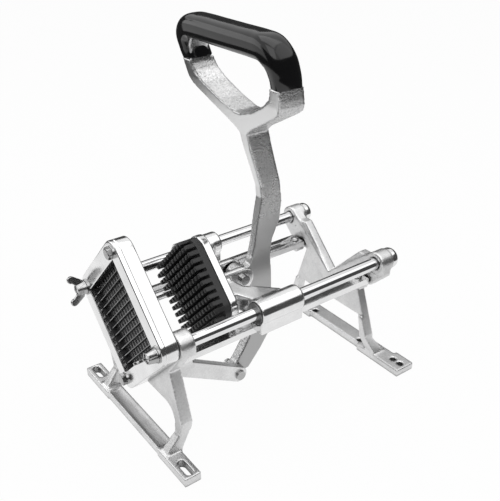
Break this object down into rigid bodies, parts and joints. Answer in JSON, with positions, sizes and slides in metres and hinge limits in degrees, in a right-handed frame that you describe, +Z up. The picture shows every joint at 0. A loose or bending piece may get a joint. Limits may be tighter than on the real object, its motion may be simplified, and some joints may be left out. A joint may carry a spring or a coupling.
{
  "type": "french fry cutter",
  "caption": "Hand-operated french fry cutter: a lever slides a fingered pusher along two rods to drive a potato through a square knife grid held between cast stands.",
  "frame": {"origin": "midway between the front foot's two slots, on the surface the cutter stands on", "axes": "+X along the guide rods from the blade end to the back, +Y to the far side in the picture, +Z up"},
  "size_m": [0.2973, 0.2016, 0.362],
  "materials": {
    "cast": "cast aluminium, tumbled and lightly polished",
    "polished": "polished cast aluminium",
    "chrome_rod": "ground and plated steel",
    "fastener": "zinc-plated steel",
    "blade_steel": "thin sharpened stainless strip",
    "bar_steel": "dark steel bar",
    "bush": "grey sintered bearing metal",
    "pusher_black": "black moulded nylon",
    "grip_black": "smooth gloss black moulded plastic"
  },
  "bodies": {
    "frame": {"front_stand": "cast", "rear_stand": "cast", "blade_housing": "polished", "bezel": "polished", "clamp_bars": "bar_steel", "knives_front": "blade_steel", "knives_rear": "blade_steel", "bezel_bolts": "fastener", "bolt_washers": "fastener", "wing_washers": "fastener", "rod_near": "chrome_rod", "rod_far": "chrome_rod", "rod_caps": "polished", "rail_near": "polished", "rail_far": "polished", "rail_screws": "fastener", "link_bolt": "fastener", "link_nut": "fastener"},
    "near_wing_nut": {"wing_nut_near": "fastener"},
    "far_wing_nut": {"wing_nut_far": "fastener"},
    "carriage": {"carriage": "polished", "bushes": "bush", "pusher_block": "pusher_black", "pusher_screws": "fastener", "clevis_pin": "fastener", "clevis_clip": "fastener"},
    "lever": {"lever": "cast", "grip": "grip_black", "foot_pin": "fastener"},
    "link": {"link_bar": "cast", "link_pin": "fastener"}
  },
  "joints": [
    {"name": "carriage_slide", "type": "slide", "parent": "frame", "child": "carriage", "axis": [1, 0, 0], "range_m": [-0.0625, 0.05]},
    {"name": "lever_swing", "type": "hinge", "parent": "carriage", "child": "lever", "pos_m": [0.1175, 0, 0.1242], "axis": [0, 1, 0], "range_deg": [-36, 29]},
    {"name": "link_swing", "type": "hinge", "parent": "frame", "child": "link", "pos_m": [0.0315, 0, 0.06], "axis": [0, 1, 0], "range_deg": [-1.2, 1]},
    {"name": "near_wing_nut_turn", "type": "hinge", "parent": "frame", "child": "near_wing_nut", "pos_m": [-0.014, -0.0663, 0.1242], "axis": [-1, 0, 0], "continuous": true},
    {"name": "far_wing_nut_turn", "type": "hinge", "parent": "frame", "child": "far_wing_nut", "pos_m": [-0.014, 0.0663, 0.1242], "axis": [-1, 0, 0], "continuous": true}
  ],
  "couplings": [
    {"joint": "lever_swing", "follows": "carriage_slide", "rad_per_m": 9.77},
    {"joint": "link_swing", "follows": "carriage_slide", "rad_per_m": 0.25}
  ]
}
